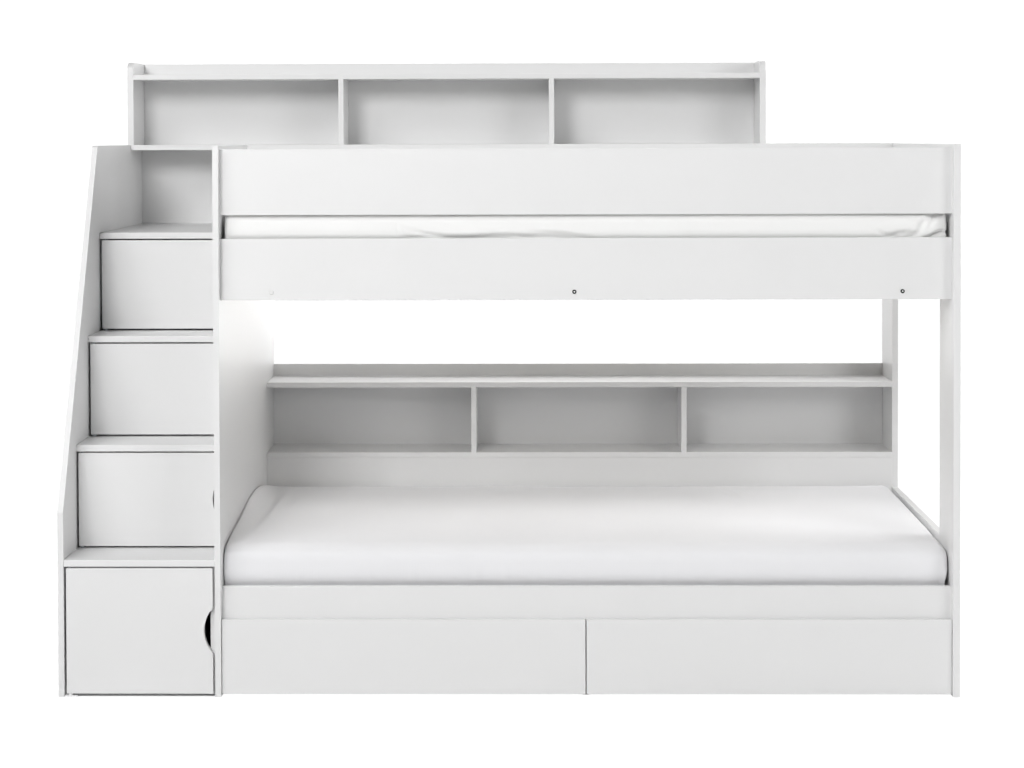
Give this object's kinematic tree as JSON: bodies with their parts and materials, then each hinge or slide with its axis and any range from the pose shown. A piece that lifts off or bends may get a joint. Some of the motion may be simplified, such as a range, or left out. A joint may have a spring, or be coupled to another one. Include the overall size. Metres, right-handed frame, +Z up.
{
  "type": "bunk bed with stairs",
  "caption": "White board bunk bed with a cupboard staircase at the left, bookcases along the wall side of both bunks and rolling drawers below.",
  "frame": {"origin": "on the floor, below the middle of the whole bed with its staircase", "axes": "+X along the bed to the right as seen from the front, +Y from the front to the wall side, +Z up"},
  "size_m": [2.353, 1.131, 1.693],
  "materials": {
    "white_board": "white melamine-faced board, satin",
    "pine": "planed pine, unvarnished",
    "upper_sheet": "white cotton sheet over foam",
    "lower_sheet": "white cotton sheet over foam",
    "zinc_steel": "bright zinc plate",
    "white_enamel": "white powder coat, satin",
    "castor_plastic": "moulded nylon, matte",
    "catch_plastic": "moulded plastic, matte"
  },
  "bodies": {
    "bed": {"bearer_barrel_nuts": "zinc_steel", "bearer_bolts": "zinc_steel", "door_magnet_catches": "catch_plastic", "door_pivot_pins": "zinc_steel", "drawer_centre_panel": "white_board", "left_end_panel": "white_board", "lower_bookcase_back": "white_board", "lower_bookcase_divider_1": "white_board", "lower_bookcase_divider_2": "white_board", "lower_bookcase_floor": "white_board", "lower_bookcase_top": "white_board", "lower_front_rail": "white_board", "lower_ledgers": "pine", "lower_mattress": "lower_sheet", "lower_pivot_plate": "white_enamel", "lower_rear_panel": "white_board", "lower_slats": "pine", "right_front_post": "white_board", "right_lower_end_panel": "white_board", "right_rear_post": "white_board", "right_upper_end_guard": "white_board", "stair_back_panel": "white_board", "stair_bottom_panel": "white_board", "stair_left_side": "white_board", "stair_tread_1": "white_board", "stair_tread_2": "white_board", "stair_tread_3": "white_board", "stair_tread_4": "white_board", "upper_bearers": "pine", "upper_bookcase_back": "white_board", "upper_bookcase_base": "white_board", "upper_bookcase_divider_1": "white_board", "upper_bookcase_divider_2": "white_board", "upper_bookcase_left_side": "white_board", "upper_bookcase_right_side": "white_board", "upper_bookcase_top": "white_board", "upper_front_guard_rail": "white_board", "upper_front_side_rail": "white_board", "upper_ledgers": "pine", "upper_mattress": "upper_sheet", "upper_rear_guard": "white_board", "upper_slats": "pine"},
    "stair_door_1": {"stair_door_1": "white_board"},
    "stair_door_2": {"stair_door_2": "white_board"},
    "stair_door_3": {"stair_door_3": "white_board"},
    "stair_door_4": {"stair_door_4": "white_board"},
    "left_drawer": {"left_drawer_back": "white_board", "left_drawer_bottom": "white_board", "left_drawer_castor_forks": "zinc_steel", "left_drawer_front": "white_board", "left_drawer_sides": "white_board"},
    "left_drawer_front_wheels": {"left_drawer_front_wheels": "castor_plastic"},
    "left_drawer_rear_wheels": {"left_drawer_rear_wheels": "castor_plastic"},
    "right_drawer": {"right_drawer_back": "white_board", "right_drawer_bottom": "white_board", "right_drawer_castor_forks": "zinc_steel", "right_drawer_front": "white_board", "right_drawer_sides": "white_board"},
    "right_drawer_front_wheels": {"right_drawer_front_wheels": "castor_plastic"},
    "right_drawer_rear_wheels": {"right_drawer_rear_wheels": "castor_plastic"}
  },
  "joints": [
    {"name": "stair_door_1_swing", "type": "hinge", "parent": "bed", "child": "stair_door_1", "pos_m": [-1.1465, -0.556, 0.17275], "axis": [0, 0, -1], "range_deg": [0, 90]},
    {"name": "stair_door_2_swing", "type": "hinge", "parent": "bed", "child": "stair_door_2", "pos_m": [-1.1465, -0.397, 0.49017], "axis": [0, 0, -1], "range_deg": [0, 90]},
    {"name": "stair_door_3_swing", "type": "hinge", "parent": "bed", "child": "stair_door_3", "pos_m": [-1.1465, -0.238, 0.7685], "axis": [0, 0, -1], "range_deg": [0, 90]},
    {"name": "stair_door_4_swing", "type": "hinge", "parent": "bed", "child": "stair_door_4", "pos_m": [-1.1465, -0.079, 1.04683], "axis": [0, 0, -1], "range_deg": [0, 90]},
    {"name": "left_drawer_slide", "type": "slide", "parent": "bed", "child": "left_drawer", "axis": [0, -1, 0], "range_m": [0, 0.6]},
    {"name": "left_drawer_front_wheels_roll", "type": "hinge", "parent": "left_drawer", "child": "left_drawer_front_wheels", "pos_m": [-0.2735, -0.46, 0.022], "axis": [1, 0, 0], "range_deg": [0, 1600]},
    {"name": "left_drawer_rear_wheels_roll", "type": "hinge", "parent": "left_drawer", "child": "left_drawer_rear_wheels", "pos_m": [-0.2735, 0.1585, 0.022], "axis": [1, 0, 0], "range_deg": [0, 1600]},
    {"name": "right_drawer_slide", "type": "slide", "parent": "bed", "child": "right_drawer", "axis": [0, -1, 0], "range_m": [0, 0.6]},
    {"name": "right_drawer_front_wheels_roll", "type": "hinge", "parent": "right_drawer", "child": "right_drawer_front_wheels", "pos_m": [0.6815, -0.46, 0.022], "axis": [1, 0, 0], "range_deg": [0, 1600]},
    {"name": "right_drawer_rear_wheels_roll", "type": "hinge", "parent": "right_drawer", "child": "right_drawer_rear_wheels", "pos_m": [0.6815, 0.1585, 0.022], "axis": [1, 0, 0], "range_deg": [0, 1600]}
  ],
  "couplings": [
    {"joint": "left_drawer_front_wheels_roll", "follows": "left_drawer_slide", "rad_per_m": 46.512},
    {"joint": "left_drawer_rear_wheels_roll", "follows": "left_drawer_slide", "rad_per_m": 46.512},
    {"joint": "right_drawer_front_wheels_roll", "follows": "right_drawer_slide", "rad_per_m": 46.512},
    {"joint": "right_drawer_rear_wheels_roll", "follows": "right_drawer_slide", "rad_per_m": 46.512}
  ]
}
